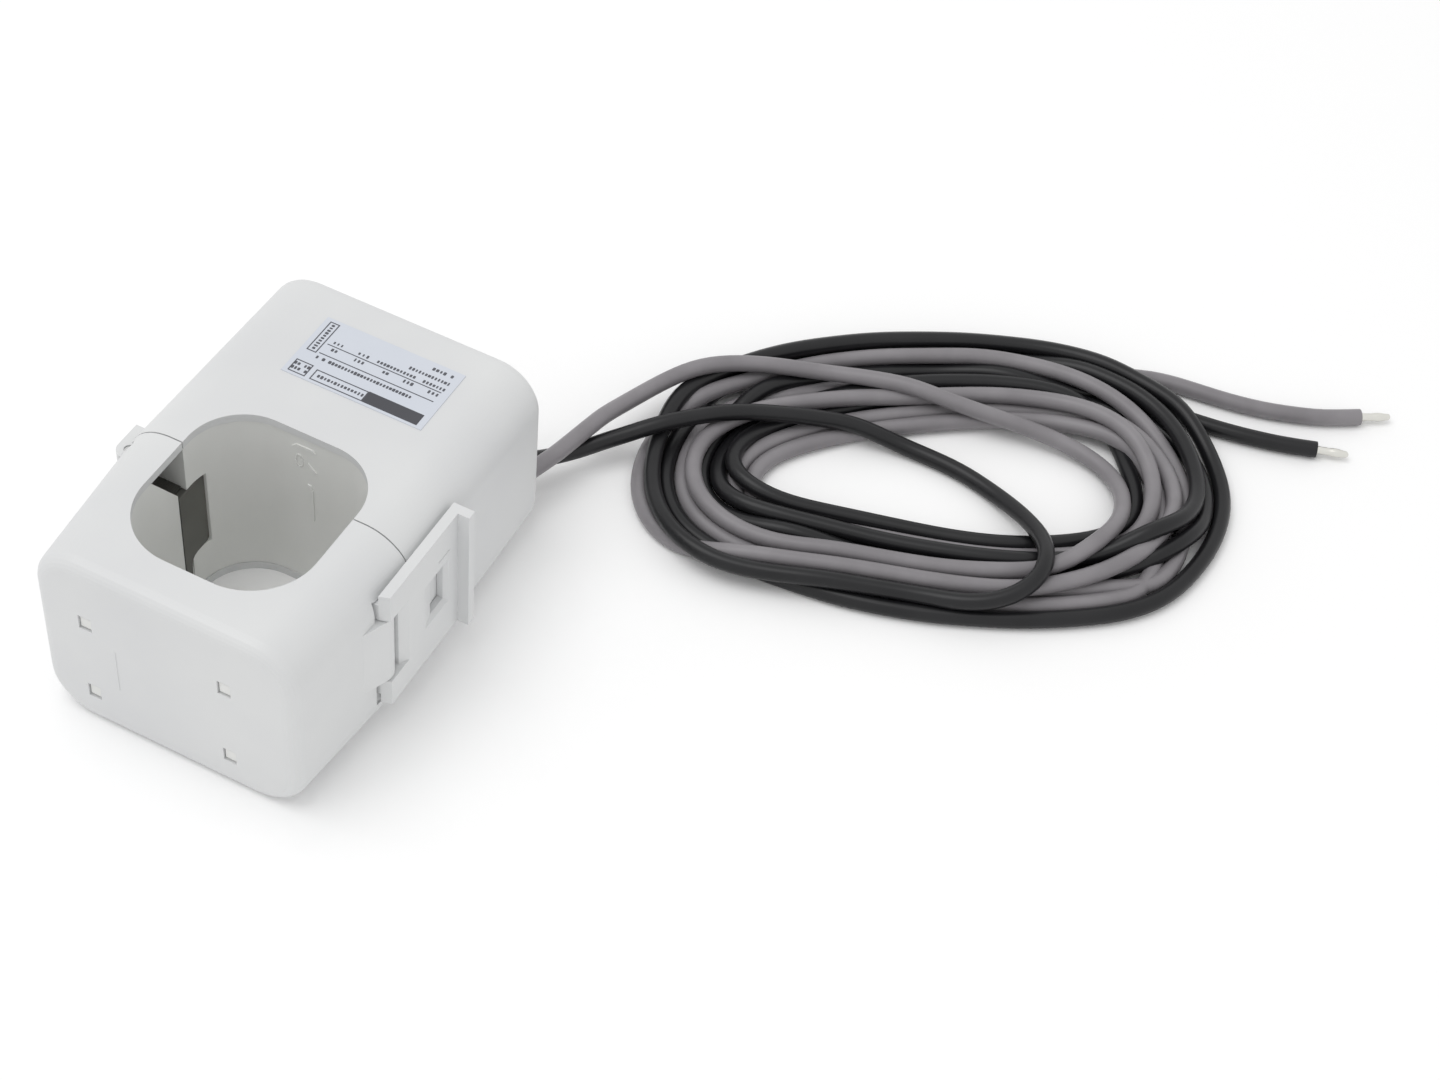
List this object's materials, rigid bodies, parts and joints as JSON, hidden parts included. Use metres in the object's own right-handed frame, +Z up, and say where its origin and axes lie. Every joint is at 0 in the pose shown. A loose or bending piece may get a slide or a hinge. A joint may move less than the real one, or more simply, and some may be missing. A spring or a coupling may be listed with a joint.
{
  "type": "current transformer",
  "caption": "Split-core current transformer with a hinged jaw, a side snap clip and two flying leads; it clamps round a cable to measure its current.",
  "frame": {"origin": "on the surface it stands on, under the middle of the case's box with hinge, clip and grommet, leads left out", "axes": "+Y towards the lead end, +Z up along the window's axis, +X towards the snap clip; the hinge is at -X"},
  "size_m": [0.2003, 0.2014, 0.0432],
  "materials": {
    "case": "off-white moulded plastic, satin",
    "insert": "light grey moulded plastic, satin",
    "core": "varnished steel strip, dark grey",
    "bobbin": "black moulded plastic",
    "copper": "enamelled copper wire, gloss",
    "tape": "yellow polyester tape",
    "board": "green board, gloss",
    "tin": "tinned copper, dull",
    "black_rubber": "black moulded rubber",
    "lead_grey": "grey cable insulation, matte",
    "lead_black": "black cable insulation, matte",
    "label": "pale laser-marked label, matte",
    "pin_steel": "bright steel pin",
    "foam": "dark foam strip"
  },
  "bodies": {
    "body": {"body_case": "case", "body_insert": "insert", "body_core": "core", "bobbin": "bobbin", "secondary_winding": "copper", "winding_tape": "tape", "winding_tails": "copper", "terminal_board": "board", "solder_posts": "tin", "lead_grommet": "black_rubber", "grey_inner_lead": "lead_grey", "black_inner_lead": "lead_black", "label": "label", "hinge_pin": "pin_steel", "grey_lead": "lead_grey", "black_lead": "lead_black", "lead_coil": "lead_black", "grey_lead_end": "lead_grey", "black_lead_end": "lead_black", "grey_tip": "tin", "black_tip": "tin"},
    "jaw": {"jaw_case": "case", "jaw_insert": "insert", "jaw_core": "core", "core_pad": "foam", "latch_pin": "pin_steel"},
    "latch": {"latch_clip": "case"}
  },
  "joints": [
    {"name": "jaw_hinge", "type": "hinge", "parent": "body", "child": "jaw", "pos_m": [-0.0297, -0.01145, 0.0215], "axis": [0, 0, -1], "range_deg": [0, 90]},
    {"name": "latch_swing", "type": "hinge", "parent": "jaw", "child": "latch", "pos_m": [0.0263, -0.01745, 0.024], "axis": [0, 0, -1], "range_deg": [0, 28]}
  ]
}
